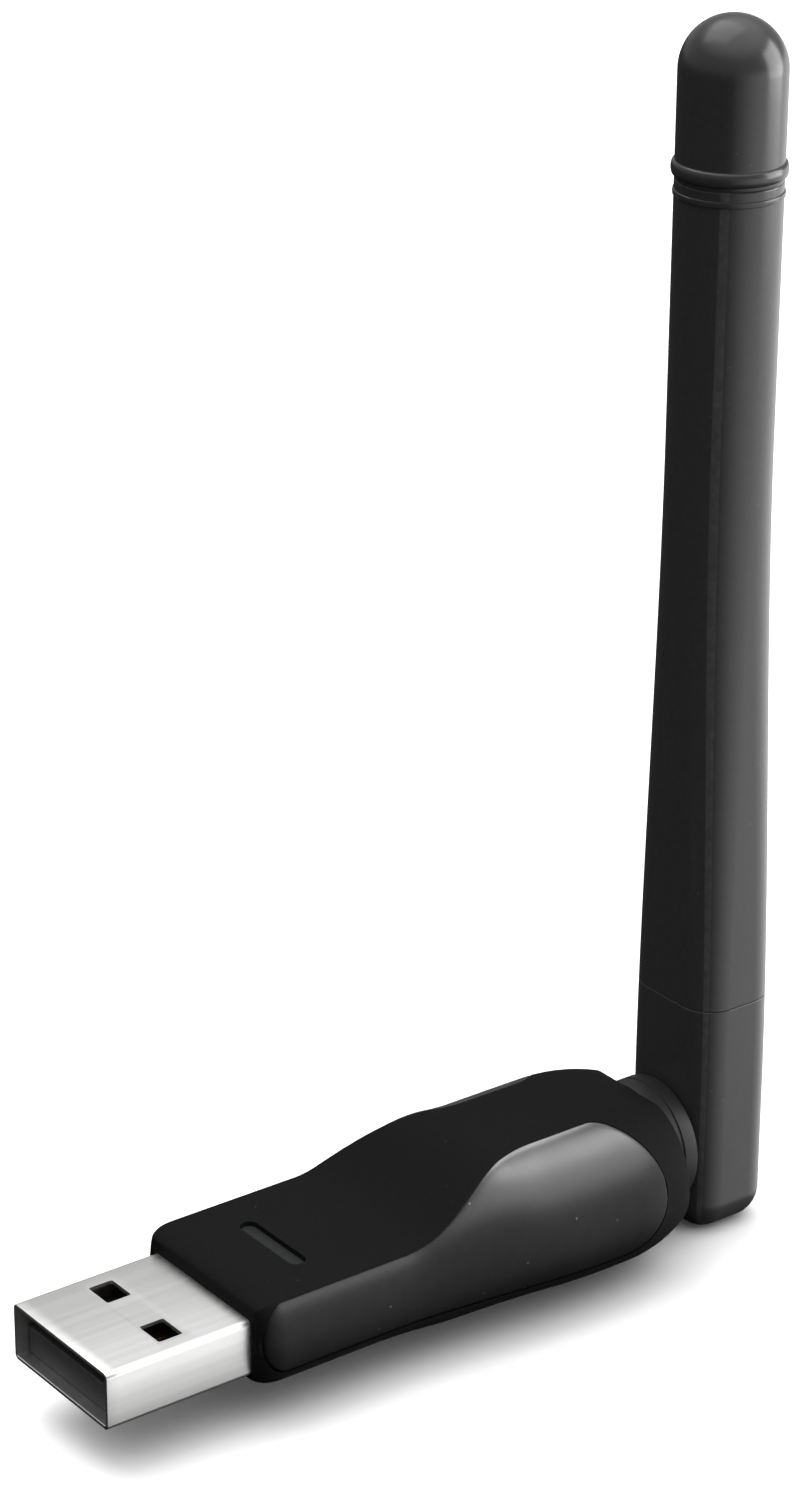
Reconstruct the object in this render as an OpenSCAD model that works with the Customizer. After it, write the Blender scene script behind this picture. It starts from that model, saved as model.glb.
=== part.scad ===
// USB wireless adapter with a swivelling whip antenna. Millimetres, +Z up, antenna upright.
// The plug points along -X. The origin is at the middle of the footprint, on the table.
// Every module draws in plug coordinates: X from the plug's tip, Z from the plug's mid-plane.

/* [USB plug] */
// Width of the steel plug shell
plug_w = 12; // [10:0.1:13.5]
// Thickness of the steel plug shell
plug_t = 4.5; // [4:0.1:4.8]
// Length of plug that stands out of the housing
plug_l = 12; // [11.8:0.1:16]
// Length of plug shell held inside the housing
plug_inside_l = 5.2; // [4:0.1:6]
// Sheet thickness of the plug shell
plug_wall = 0.3; // [0.25:0.05:0.4]
// How far the shell is drawn in where the housing grips it, a side
plug_step = 0.1; // [0.05:0.05:0.15]
// Width of each latch window in the plug shell
window_w = 2.5; // [2:0.1:3]
// Length of each latch window along the plug
window_l = 2; // [1.5:0.1:2.5]
// Distance from the plug's tip to the middle of the latch windows
window_x = 6.3; // [5:0.1:7]
// Distance from the middle line to the middle of each latch window
window_y = 3.25; // [2:0.05:3.5]
// Depth of the tongue's front end behind the mouth
tongue_setback = 1; // [0.5:0.1:1.5]
// Height of the tongue's top face above the plug's mid-plane
tongue_top = 0.2; // [0:0.05:0.3]
// Width of each contact strip
contact_w = 1; // [0.7:0.05:1.2]
// Thickness of each contact strip
contact_t = 0.2; // [0.1:0.05:0.3]

/* [Housing] */
// Length of the housing, plug end to rear face
housing_l = 39.2; // [33:0.1:50]
// Width of the neck behind the plug
neck_w = 15.5; // [15:0.1:18]
// Width of the bulb at the rear
bulb_w = 18; // [17:0.1:24]
// Height of the neck's top above the plug's mid-plane
neck_top = 3.7; // [3.6:0.05:4.5]
// Depth of the neck's underside below the plug's mid-plane
neck_bottom = 3.05; // [3:0.05:4]
// Height of the bulb's top above the plug's mid-plane
bulb_top = 7.05; // [6.6:0.05:9]
// Depth of the bulb's underside below the plug's mid-plane
bulb_bottom = 5.05; // [4.8:0.05:6.5]
// Width of the flat top panel on the neck
panel_neck_w = 13.8; // [12:0.1:14.5]
// Width of the flat top panel on the bulb
panel_bulb_w = 7.6; // [6:0.1:9]
// Distance from the housing's front to the foot of the ramp
ramp_start = 13; // [12:0.1:18]
// Length of the ramp from the neck up to the bulb
ramp_l = 10.5; // [8:0.1:14]
// Side wall of the covers, with the trim on it
wall_side = 1.4; // [1.3:0.05:1.8]
// Roof of the upper cover
wall_top = 1.2; // [1:0.05:1.4]
// Floor of the lower cover
wall_bottom = 0.75; // [0.7:0.05:1]
// Front and rear walls
wall_end = 1.2; // [1:0.05:1.6]
// Length of the rounded nose
nose_l = 2; // [1:0.1:3]
// Length over which the rear end draws in
tail_l = 6; // [4:0.1:8]

/* [Side trims] */
// Thickness of the side trims
trim_t = 0.7; // [0.5:0.05:0.8]
// Distance from the housing's rear face to the end of the trim
trim_rear_gap = 2.6; // [1.5:0.1:4]
// Drop of the trim's top edge below the edge of the panel
trim_top_drop = 0.12; // [0.05:0.01:0.3]
// Depth of the trim's lower edge below the plug's mid-plane, at the front
trim_low_front = 1.9; // [1.2:0.1:2.2]
// Depth of the trim's lower edge below the plug's mid-plane, at the rear
trim_low_rear = 2.6; // [1.5:0.1:3.2]

/* [Light pipe] */
// Distance from the housing's front to the middle of the light slot
light_x = 6.1; // [6:0.1:8]
// Length of the light slot across the panel
light_w = 7.2; // [5:0.1:8]
// Width of the light slot
light_l = 1.4; // [1:0.1:1.8]
// Depth of the light pipe below the panel
light_recess = 0.3; // [0.1:0.05:0.5]

/* [Circuit board] */
// Thickness of the circuit board
board_t = 0.8; // [0.6:0.1:1]
// Width of the board in the neck
board_neck_w = 11.8; // [9:0.1:12]
// Width of the board in the bulb
board_bulb_w = 13.4; // [10:0.1:14]
// Distance from the board's rear edge to the housing's rear face
board_rear_gap = 5.6; // [5:0.1:8]

/* [Swivel] */
// Height of the swivel's axis above the plug's mid-plane
hub_z = 0.8; // [0.8:0.05:1.4]
// Radius of the collar's round boss behind the housing
collar_r = 5; // [4.6:0.1:5.4]
// Length of the collar's boss
collar_l = 2.9; // [1.5:0.1:4]
// Radius of the collar's neck in the rear wall
collar_neck_r = 3.5; // [3.3:0.1:3.6]
// Radius of the hollow spigot on the antenna's base
spigot_r = 2.7; // [2.2:0.1:3]
// Radius of the cable passage through the spigot
spigot_bore_r = 1.1; // [0.8:0.05:1.3]
// Radial running clearance of the spigot in the collar
run_gap = 0.05; // [0.02:0.01:0.08]
// Gap between the collar's boss and the antenna
face_gap = 0.3; // [0.2:0.05:0.6]

/* [Antenna] */
// Diameter of the round upper antenna
antenna_d = 7.8; // [7:0.1:9]
// Width of the antenna's base, across the adapter
base_w = 8.8; // [8:0.1:10]
// Depth of the antenna's base, along the adapter
base_d = 6.8; // [6.6:0.1:8]
// Corner radius of the antenna's base
base_corner = 1.9; // [1:0.1:2.5]
// Depth of the antenna's foot below the plug's mid-plane
foot_drop = 6.6; // [6:0.1:9.5]
// Height of the joint between base and sleeve
base_top = 12.6; // [11:0.1:16]
// Height at which the sleeve has become round
round_from = 57; // [40:1:62]
// Height of the joint between sleeve and tip
tip_joint = 75.6; // [70:0.1:90]
// Height of the top of the dome
antenna_top = 87.3; // [86:0.1:110]
// Radius of the bore of the sleeve
sleeve_bore_r = 2.2; // [2:0.05:2.5]
// How far the ridge round the tip stands proud
ridge_proud = 0.26; // [0.1:0.02:0.4]
// Height of the ridge round the tip
ridge_h = 1.1; // [0.6:0.1:1.5]
// Outer radius of the brass radiator sleeve
radiator_r = 1.9; // [1.6:0.05:1.95]
// Length of the brass radiator sleeve, a quarter wave in its tube
radiator_l = 27; // [24:0.5:31]
// Length of the bare radiator wire, a quarter wave in its tube
wire_l = 25; // [22:0.5:30]
// Radius of the bare radiator wire
wire_r = 0.4; // [0.25:0.05:0.5]
// Radius of the coaxial cable
coax_r = 0.55; // [0.4:0.05:0.6]

/* [Hidden] */
$fn = 64;

eps = 0.01;
fit = 0.05;            // clearance of a pushed-in piece, a side
part_z = 0.1;          // height of the plane where the covers meet
side_pts = 9;          // points on each quarter of a housing section
start_turn = 70;       // degrees of arc left at the edge of the panel
lower_power = 2.2;     // how square the lower quarters are
panel_inset = 1;       // how much narrower the inner panel is, a side
nose_in = 1.2;         // how far the rounded nose draws the sides in
nose_down = 0.6;       // how far it draws the top and the underside in
tail_in = 1.6;         // how far the rear end draws the sides in
tail_down = 1.2;       // how far it draws the top in
tail_up = 1;           // how far it draws the underside in
floor_inset = 0.8;     // how much narrower the flat floor is than the panel, a side

front_x = plug_l;
rear_x = front_x + housing_l;
plug_end_x = plug_l + plug_inside_l;
swell_x = front_x + ramp_start - 1;
swell_end_x = front_x + ramp_start + ramp_l + 4.5;
ramp_x = front_x + ramp_start;
ramp_end_x = ramp_x + ramp_l;
light_mid_x = front_x + light_x;

collar_end_x = rear_x + collar_l;
base_front_x = collar_end_x + face_gap;
antenna_x = base_front_x + base_d / 2;
antenna_r = antenna_d / 2;
ridge_r = antenna_r + ridge_proud;

overall_l = antenna_x + ridge_r;

board_top = tongue_top;
board_bottom = board_top - board_t;
board_x = plug_end_x + 0.2;
board_end_x = rear_x - board_rear_gap;

// ---- shared rules ----

function ease(t) = let(c = min(1, max(0, t))) c * c * (3 - 2 * c);
function rise(x, a, b) = ease((x - a) / (b - a));
function nose(x) = let(t = min(1, max(0, (front_x + nose_l - x) / nose_l))) 1 - sqrt(1 - t * t);
function tail(x) = let(t = min(1, max(0, (x - rear_x + tail_l) / tail_l))) t * t;

function half_w(x) = neck_w / 2 + (bulb_w - neck_w) / 2 * rise(x, swell_x, swell_end_x) - nose_in * nose(x) - tail_in * tail(x);
function top_z(x) = neck_top + (bulb_top - neck_top) * rise(x, ramp_x, ramp_end_x) - nose_down * nose(x) - tail_down * tail(x);
function floor_z(x) = -neck_bottom - (bulb_bottom - neck_bottom) * rise(x, ramp_x - 3, ramp_end_x + 8) + nose_down * nose(x) + tail_up * tail(x);
function panel_half(x) = panel_neck_w / 2 - (panel_neck_w - panel_bulb_w) / 2 * rise(x, ramp_x + 2, ramp_end_x + 3) - nose_down * nose(x) - 0.3 * tail(x);

// One quarter of a section above the plane where the covers meet, from the panel's edge outwards
function upper_side(w, p, h) =
    let(a = (w - p) / (1 - cos(start_turn)), b = h / sin(start_turn))
    [for (i = [0 : side_pts]) let(t = start_turn * (1 - i / side_pts)) [w - a + a * cos(t), part_z + b * sin(t)]];

// One quarter below it, from the widest point in to the flat floor
function lower_side(w, q, h) =
    [for (i = [1 : side_pts]) let(t = 90 * i / side_pts)
        [q + (w - q) * pow(cos(t), 2 / lower_power), part_z - h * pow(sin(t), 2 / lower_power)]];

// Section of the housing at x, drawn in by side, roof and floor thicknesses
function section(x, side, roof, floor) =
    let(
        w = half_w(x) - side,
        p = min(panel_half(x) - (side > 0 ? panel_inset * side / wall_side : 0), w - 0.2),
        up = upper_side(w, p, top_z(x) - roof - part_z),
        low = lower_side(w, p - floor_inset, part_z - floor_z(x) - floor),
        half = concat(up, low)
    )
    concat([for (q = half) [x, q[0], q[1]]], [for (i = [len(half) - 1 : -1 : 0]) [x, -half[i][0], half[i][1]]]);

// Closed skin over a row of sections that have the same number of points
module loft(rows) {
    n = len(rows[0]);
    m = len(rows);
    points = [for (r = rows) for (p = r) p];
    sides = [for (j = [0 : m - 2]) for (i = [0 : n - 1])
        let(a = j * n + i, b = j * n + (i + 1) % n, c = a + n, d = b + n)
        each [[a, b, d], [a, d, c]]];
    first = [for (i = [n - 1 : -1 : 0]) i];
    last = [for (i = [0 : n - 1]) (m - 1) * n + i];
    polyhedron(points, concat(sides, [first], [last]), convexity = 6);
}

// Stations along the housing, closer where its shape changes
function stations(a, b) = concat(
    [for (t = [0 : 0.25 : 1]) a + t * t * nose_l],
    [for (x = [a + nose_l + 3 : 3 : ramp_x - 1]) x],
    [for (k = [0 : 8]) ramp_x + k * ramp_l / 7],
    [for (k = [1 : 3]) ramp_x + ramp_l * 8 / 7 + k * (b - tail_l - ramp_x - ramp_l * 8 / 7) / 3],
    [for (k = [1 : 4]) b - tail_l + k * tail_l / 4]
);

module housing_form(side = 0, roof = 0, floor = 0, front = 0, rear = 0) {
    loft([for (x = stations(front_x + front, rear_x - rear)) section(x, side, roof, floor)]);
}

module cavity() {
    housing_form(wall_side, wall_top, wall_bottom, wall_end, wall_end);
}

// Everything is moved from plug coordinates to the adapter's own frame
module placed() {
    translate([-overall_l / 2, 0, foot_drop]) children();
}

// A box given by its lowest corner and its highest corner
module block(low, high) {
    translate(low) cube(high - low);
}

module x_cylinder(r, x0, x1, z = hub_z) {
    translate([x0, 0, z]) rotate([0, 90, 0]) cylinder(r = r, h = x1 - x0);
}

module z_cylinder(r, x, z0, z1) {
    translate([x, 0, z0]) cylinder(r = r, h = z1 - z0);
}

// ---- USB plug ----

contact_ys = [-3.5, -1, 1, 3.5];
outer_setback = 0.6;    // of the two power contacts behind the tongue's front end
inner_setback = 1.6;    // of the two data contacts

// The shell stands full size in front of the housing; its shoulder butts on the housing's front face
module usb_shell() placed() color("silver") difference() {
    union() {
        block([0, -plug_w / 2, -plug_t / 2], [plug_l, plug_w / 2, plug_t / 2]);
        block(
            [plug_l - 1, plug_step - plug_w / 2, plug_step - plug_t / 2],
            [plug_end_x, plug_w / 2 - plug_step, plug_t / 2 - plug_step]
        );
    }
    block(
        [-eps, plug_wall - plug_w / 2, plug_wall - plug_t / 2],
        [plug_end_x + eps, plug_w / 2 - plug_wall, plug_t / 2 - plug_wall]
    );
    for (side = [-1, 1])
        translate([window_x, side * window_y, 0])
            cube([window_l, window_w, plug_t + 1], center = true);
}

module usb_tongue() placed() color("dimgray") difference() {
    inner_y = plug_w / 2 - plug_wall - fit;
    inner_z = plug_t / 2 - plug_wall - fit;
    union() {
        block([tongue_setback, -inner_y, -inner_z], [plug_end_x - 0.3, inner_y, tongue_top]);
        block([plug_l - 0.5, -inner_y, -inner_z], [plug_end_x - 0.3, inner_y, inner_z]);
    }
    for (y = contact_ys)
        block(
            [plug_l - 1, y - contact_w / 2 - fit, tongue_top],
            [plug_end_x + 1, y + contact_w / 2 + fit, tongue_top + contact_t + fit]
        );
}

module usb_contacts() placed() color("gold")
    for (y = contact_ys)
        block(
            [tongue_setback + (abs(y) < 2 ? inner_setback : outer_setback), y - contact_w / 2, tongue_top],
            [board_x + 1.8, y + contact_w / 2, tongue_top + contact_t]
        );

// ---- housing ----

// Side view of a trim: under the panel's edge, round at the nose and at the rear
function trim_top(x) = top_z(x) - trim_top_drop;
function trim_low(x) = -trim_low_front - (trim_low_rear - trim_low_front) * rise(x, ramp_x, rear_x);
trim_x0 = front_x + 0.25;
trim_x1 = rear_x - trim_rear_gap;

module trim_outline() {
    nose_turn = 2;
    rear_turn = 5.5;
    steps = 8;
    function front_k(x) = let(t = min(1, max(0, (trim_x0 + nose_turn - x) / nose_turn))) 1 - sqrt(1 - t * t);
    function rear_k(x) = let(t = min(1, max(0, (x - trim_x1 + rear_turn) / rear_turn))) 1 - sqrt(1 - t * t);
    function pinch(x) = max(front_k(x), rear_k(x)) * (trim_top(x) - trim_low(x)) / 2;
    xs = concat(
        [for (i = [0 : steps]) trim_x0 + nose_turn * (1 - cos(90 * i / steps))],
        [for (i = [1 : 14]) trim_x0 + nose_turn + i * (trim_x1 - rear_turn - trim_x0 - nose_turn) / 14],
        [for (i = [1 : steps]) trim_x1 - rear_turn + rear_turn * sin(90 * i / steps)]
    );
    upper = [for (x = xs) [x, trim_top(x) - pinch(x)]];
    lower = [for (i = [len(xs) - 2 : -1 : 1]) [xs[i], trim_low(xs[i]) + pinch(xs[i])]];
    polygon(concat(upper, lower));
}

// Everything outside the panel's edge on one side, seen from above
module beside_panel(side, reach) {
    xs = stations(front_x, rear_x);
    edge = [for (x = xs) [x, side * panel_half(x)]];
    translate([0, 0, -reach])
        linear_extrude(2 * reach)
            polygon(concat(edge, [[rear_x, side * reach], [front_x, side * reach]]));
}

module trim_prism(side) {
    reach = bulb_w;
    intersection() {
        translate([0, side > 0 ? reach : 0, 0])
            rotate([90, 0, 0])
                linear_extrude(reach) trim_outline();
        beside_panel(side, reach);
    }
}

module trim_seat() {
    housing_form(trim_t, trim_t, trim_t, -0.5, -0.5);
}

module side_trim(side) {
    placed() color([0.2, 0.2, 0.21]) difference() {
        intersection() {
            housing_form();
            trim_prism(side);
        }
        trim_seat();
    }
}

module side_trim_left() {
    side_trim(1);
}

module side_trim_right() {
    side_trim(-1);
}

// Hollow half of the housing between two heights, with the seats for plug, collar and trims
module cover_half(low_z, high_z) {
    difference() {
        intersection() {
            housing_form();
            block([front_x - 1, -bulb_w, low_z], [rear_x + 1, bulb_w, high_z]);
        }
        cavity();
        grip = fit - plug_step;
        block(
            [front_x - 1, -plug_w / 2 - grip, -plug_t / 2 - grip],
            [plug_end_x + fit, plug_w / 2 + grip, plug_t / 2 + grip]
        );
        x_cylinder(collar_neck_r + fit, rear_x - wall_end - 1, rear_x + 1);
        for (side = [-1, 1])
            difference() {
                trim_prism(side);
                trim_seat();
            }
    }
}

post_r = 0.8;
post_xs = [board_x + 6, board_end_x - 4];
function post_y(x) = (x < ramp_x ? board_neck_w : panel_bulb_w) / 2 - post_r - 0.4;

module upper_cover() placed() color([0.12, 0.12, 0.12]) union() {
    difference() {
        cover_half(part_z, bulb_top + 1);
        translate([light_mid_x, 0, neck_top - wall_top])
            cube([light_l, light_w, 2 * wall_top + 1], center = true);
    }
    for (x = post_xs)
        for (side = [-1, 1])
            translate([x, side * post_y(x), board_top + fit])
                cylinder(r = post_r, h = top_z(x) - wall_top / 2 - board_top - fit);
}

module lower_cover() placed() color([0.15, 0.15, 0.15]) union() {
    cover_half(-bulb_bottom - 1, part_z);
    for (x = post_xs)
        for (side = [-1, 1])
            translate([x, side * post_y(x), floor_z(x) + wall_bottom / 2])
                cylinder(r = post_r, h = board_bottom - floor_z(x) - wall_bottom / 2);
}

led_x = light_mid_x + 2.4;
led_h = 0.55;
module light_pipe() placed() color([0.4, 0.42, 0.42]) union() {
    roof = neck_top - wall_top - fit;
    pipe_t = 0.8;
    back_x = led_x + 0.8;
    block(
        [light_mid_x - light_l / 2 + fit, fit - light_w / 2, roof - pipe_t],
        [light_mid_x + light_l / 2 - fit, light_w / 2 - fit, neck_top - light_recess]
    );
    block(
        [light_mid_x - light_l / 2 + fit, fit - light_w / 2, roof - pipe_t],
        [back_x, light_w / 2 - fit, roof]
    );
    block([led_x - 0.8, -0.9, board_top + led_h + 0.1], [back_x, 0.9, roof - pipe_t + eps]);
}

// ---- circuit board ----

module circuit_board() placed() color("darkgreen") translate([0, 0, board_bottom])
    linear_extrude(board_t)
        polygon([
            [board_x, -board_neck_w / 2], [ramp_x, -board_neck_w / 2],
            [ramp_end_x, -board_bulb_w / 2], [board_end_x - 2, -board_bulb_w / 2],
            [board_end_x, 2 - board_bulb_w / 2], [board_end_x, board_bulb_w / 2 - 2],
            [board_end_x - 2, board_bulb_w / 2], [ramp_end_x, board_bulb_w / 2],
            [ramp_x, board_neck_w / 2], [board_x, board_neck_w / 2]
        ]);

// A part soldered on the top of the board, given by its middle and size
module on_board(x, y, size) {
    translate([x - size[0] / 2, y - size[1] / 2, board_top]) cube(size);
}

chip_x = ramp_x + 5;
module wifi_chip() placed() color([0.1, 0.1, 0.1]) on_board(chip_x, 0, [5, 5, 0.85]);

module crystal() placed() color("lightgray") on_board(chip_x + 0.5, -4.6, [3.2, 2.5, 0.7]);

module voltage_regulator() placed() color([0.1, 0.1, 0.1]) on_board(led_x + 3.6, -2.6, [2.9, 1.6, 1.1]);

module power_inductor() placed() color([0.25, 0.25, 0.25]) on_board(led_x + 3.6, 0.6, [2.5, 2, 1.2]);

module capacitors() placed() color("tan") {
    for (k = [0 : 2]) on_board(chip_x - 2 + 2 * k, 4.2, [1, 0.5, 0.5]);
    for (k = [0 : 2]) on_board(chip_x + 4.4 + 1.7 * k, 1.5, [1, 0.5, 0.5]);
    for (k = [0 : 1]) on_board(led_x + 1.2 + 2.8 * k, 3, [1.6, 0.8, 0.8]);
}

module resistors() placed() color([0.2, 0.2, 0.25]) {
    for (k = [0 : 3]) on_board(chip_x - 3 + 2 * k, 5.4, [1, 0.5, 0.35]);
    for (k = [0 : 1]) on_board(chip_x + 4.4 + 1.7 * k, -2.6, [1, 0.5, 0.35]);
}

module status_led() placed() color("lightblue") on_board(led_x, 0, [0.8, 1.6, led_h]);

hinge_x = rear_x + 1;
module body_coax() placed() color([0.7, 0.7, 0.7]) x_cylinder(coax_r, board_end_x - 4.5, hinge_x);

// ---- swivel ----

collar_flange_t = 1;
collar_lip = 0.6;
washer_t = 0.8;
clip_t = 0.7;
clip_groove = 0.5;
collar_inner_x = rear_x - wall_end - fit - collar_flange_t;
washer_x = collar_inner_x - washer_t;
clip_x = washer_x - fit - clip_t;
spigot_x = clip_x - 0.9;

module rear_collar() placed() color([0.13, 0.13, 0.13]) difference() {
    union() {
        x_cylinder(collar_r, rear_x + fit, collar_end_x);
        x_cylinder(collar_neck_r, rear_x - wall_end - fit - eps, rear_x + 2 * fit);
        x_cylinder(collar_neck_r + collar_lip, collar_inner_x, rear_x - wall_end - fit);
    }
    x_cylinder(spigot_r + run_gap, collar_inner_x - 1, collar_end_x + 1);
}

module friction_washer() placed() color("dimgray") difference() {
    x_cylinder(collar_neck_r, washer_x, collar_inner_x);
    x_cylinder(spigot_r + run_gap, washer_x - 1, collar_inner_x + 1);
}

module retaining_clip() placed() color("silver") difference() {
    x_cylinder(collar_neck_r - 0.1, clip_x, clip_x + clip_t);
    x_cylinder(spigot_r - clip_groove + 0.02, clip_x - 1, clip_x + clip_t + 1);
    block(
        [clip_x - 1, -spigot_r + 0.8, hub_z - collar_neck_r - 1],
        [clip_x + clip_t + 1, spigot_r - 0.8, hub_z]
    );
}

// ---- antenna ----

corner_pts = 7;
ring_flat = 0.12;       // half of the short flat that is left where the section is round

// Rounded rectangle across the antenna: half depth a, half width b, corner radius c
function ring(z, a, b, c) = [for (q = [0 : 3]) for (i = [0 : corner_pts])
    let(
        t = -90 * (q + i / corner_pts),
        sx = (q == 0 || q == 3) ? 1 : -1,
        sy = q < 2 ? -1 : 1
    )
    [antenna_x + sx * (a - c) + c * cos(t), sy * (b - c) + c * sin(t), z]];

// Section of the antenna at a height, from the base's rounded rectangle to a circle
function antenna_ring(z, grow = 0) =
    let(k = 1 - rise(z, base_top - 8, round_from))
    ring(
        z,
        antenna_r + k * (base_d / 2 - antenna_r) + grow,
        antenna_r + k * (base_w / 2 - antenna_r) + grow,
        min(antenna_r - ring_flat, antenna_r + k * (base_corner - antenna_r)) + grow
    );

foot_round = 1.8;
tenon_l = 4;
tenon_r = 2.35;
cable_room_r = 1.8;
bend_r = 1.6;
groove_h = 0.6;
groove_proud = 0.1;

module antenna_base() placed() color([0.13, 0.13, 0.13]) difference() {
    union() {
        loft(concat(
            [for (i = [0 : 5]) let(t = 90 * i / 5)
                antenna_ring(foot_round * (1 - cos(t)) - foot_drop, -foot_round * (1 - sin(t)))],
            [for (z = [hub_z, base_top - 8, base_top - 4, base_top]) antenna_ring(z)]
        ));
        x_cylinder(spigot_r, spigot_x, base_front_x + 1);
    }
    x_cylinder(spigot_bore_r, spigot_x - 1, antenna_x);
    z_cylinder(cable_room_r, antenna_x, hub_z - cable_room_r, base_top - 1);
    z_cylinder(tenon_r + fit, antenna_x, base_top - tenon_l - fit, base_top + 1);
    difference() {
        x_cylinder(spigot_r + 1, clip_x - fit, clip_x + clip_t + fit);
        x_cylinder(spigot_r - clip_groove, clip_x - 1, clip_x + clip_t + 1);
    }
}

module antenna_sleeve() placed() color([0.15, 0.15, 0.15]) difference() {
    union() {
        loft([for (z = concat([for (k = [0 : 11]) base_top + k * (round_from - base_top) / 11], [tip_joint]))
            antenna_ring(z)]);
        z_cylinder(tenon_r, antenna_x, base_top - tenon_l, base_top + 1);
        z_cylinder(antenna_r + groove_proud, antenna_x, tip_joint - 2 * groove_h, tip_joint - groove_h);
    }
    z_cylinder(spigot_bore_r, antenna_x, base_top - tenon_l - 1, base_top + 3);
    z_cylinder(sleeve_bore_r, antenna_x, base_top + 2, tip_joint + 1);
}

module antenna_tip() placed() color([0.15, 0.15, 0.15]) union() {
    dome_z = antenna_top - antenna_r;
    z_cylinder(antenna_r, antenna_x, tip_joint, dome_z);
    z_cylinder(sleeve_bore_r - fit, antenna_x, tip_joint - tenon_l / 2, tip_joint + 1);
    translate([antenna_x, 0, dome_z]) difference() {
        sphere(antenna_r);
        translate([0, 0, -antenna_d]) cube(2 * antenna_d, center = true);
    }
    translate([antenna_x, 0, tip_joint + 0.3]) rotate_extrude() polygon([
        [antenna_r - 1, 0], [antenna_r, 0], [ridge_r, ridge_h / 3],
        [ridge_r, ridge_h * 2 / 3], [antenna_r, ridge_h], [antenna_r - 1, ridge_h]
    ]);
}

radiator_wall = 0.3;
radiator_z = base_top + 6;
radiator_end_z = radiator_z + radiator_l;

module radiator_sleeve() placed() color("goldenrod") difference() {
    z_cylinder(radiator_r, antenna_x, radiator_z, radiator_end_z);
    z_cylinder(radiator_r - radiator_wall, antenna_x, radiator_z - 1, radiator_end_z - 1);
    z_cylinder(coax_r, antenna_x, radiator_z - 1, radiator_end_z + 1);
}

module radiator_wire() placed() color("goldenrod")
    z_cylinder(wire_r, antenna_x, radiator_end_z, radiator_end_z + wire_l);

module antenna_coax() placed() color([0.7, 0.7, 0.7]) union() {
    x_cylinder(coax_r, hinge_x, antenna_x - bend_r);
    translate([antenna_x - bend_r, 0, hub_z + bend_r])
        rotate([90, 0, 0])
            rotate([0, 0, -90])
                rotate_extrude(angle = 90) translate([bend_r, 0]) circle(coax_r);
    z_cylinder(coax_r, antenna_x, hub_z + bend_r, radiator_end_z);
}

usb_shell();
usb_tongue();
usb_contacts();
upper_cover();
lower_cover();
side_trim_left();
side_trim_right();
light_pipe();
circuit_board();
wifi_chip();
crystal();
voltage_regulator();
power_inductor();
capacitors();
resistors();
status_led();
body_coax();
rear_collar();
friction_washer();
retaining_clip();
antenna_base();
antenna_sleeve();
antenna_tip();
radiator_sleeve();
radiator_wire();
antenna_coax();
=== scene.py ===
# USB wireless adapter: a steel plug, a waisted black housing with satin side trims, and a whip antenna
# on a swivel. Built piece by piece around the fixed frame, in metres.
import math
import bmesh
import bpy
from mathutils import Matrix, Vector


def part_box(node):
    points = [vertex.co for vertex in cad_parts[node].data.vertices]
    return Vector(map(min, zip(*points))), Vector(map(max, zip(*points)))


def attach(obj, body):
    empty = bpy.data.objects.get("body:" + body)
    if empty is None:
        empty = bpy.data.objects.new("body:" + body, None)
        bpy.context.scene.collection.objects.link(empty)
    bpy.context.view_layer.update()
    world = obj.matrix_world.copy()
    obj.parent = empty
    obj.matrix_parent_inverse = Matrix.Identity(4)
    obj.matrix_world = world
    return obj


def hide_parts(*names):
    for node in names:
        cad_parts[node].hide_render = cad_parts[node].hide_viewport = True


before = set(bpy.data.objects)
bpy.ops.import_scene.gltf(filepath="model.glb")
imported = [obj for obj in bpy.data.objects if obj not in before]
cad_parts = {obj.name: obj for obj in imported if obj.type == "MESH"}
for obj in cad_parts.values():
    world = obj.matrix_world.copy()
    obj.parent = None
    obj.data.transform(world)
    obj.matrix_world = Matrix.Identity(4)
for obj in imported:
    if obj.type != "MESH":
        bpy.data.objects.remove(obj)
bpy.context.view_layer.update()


# ---- Table top, camera and lights ----
# A seamless pale table top. The camera stands ahead of the plug on the adapter's right, above the object.
# A wide soft box hangs above and one stands on the camera's right; two more light only the side trims.

mm = 0.001


def new_piece(name, points, faces, weld=1e-7):
    """A mesh object from points and faces, welded, with its faces turned outwards."""
    mesh = bpy.data.meshes.new(name)
    mesh.from_pydata(points, [], faces)
    work = bmesh.new()
    work.from_mesh(mesh)
    bmesh.ops.remove_doubles(work, verts=work.verts, dist=weld)
    bmesh.ops.recalc_face_normals(work, faces=work.faces)
    work.to_mesh(mesh)
    work.free()
    piece = bpy.data.objects.new(name, mesh)
    bpy.context.scene.collection.objects.link(piece)
    return piece


def new_finish(name, colour, roughness, metallic=0.0, specular=0.5):
    """A material with its Principled shader, ready for a pattern."""
    finish = bpy.data.materials.new(name)
    finish.use_nodes = True
    surface = finish.node_tree.nodes["Principled BSDF"]
    surface.inputs["Base Color"].default_value = (*colour, 1)
    surface.inputs["Roughness"].default_value = roughness
    surface.inputs["Metallic"].default_value = metallic
    surface.inputs["Specular IOR Level"].default_value = specular
    return finish


def put(tree, kind, values=None, **settings):
    """A node with its settings; values gives its inputs, each a number, a colour or a socket to link."""
    node = tree.nodes.new(kind)
    for key, value in settings.items():
        setattr(node, key, value)
    for label, value in (values or {}).items():
        if isinstance(value, bpy.types.NodeSocket):
            tree.links.new(value, node.inputs[label])
        else:
            node.inputs[label].default_value = value
    return node


def math_on(tree, operation, *terms, use_clamp=False):
    """The result of a Math node; each term is a number or a socket."""
    values = dict(enumerate(terms))
    return put(tree, "ShaderNodeMath", values, operation=operation, use_clamp=use_clamp).outputs[0]


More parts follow.
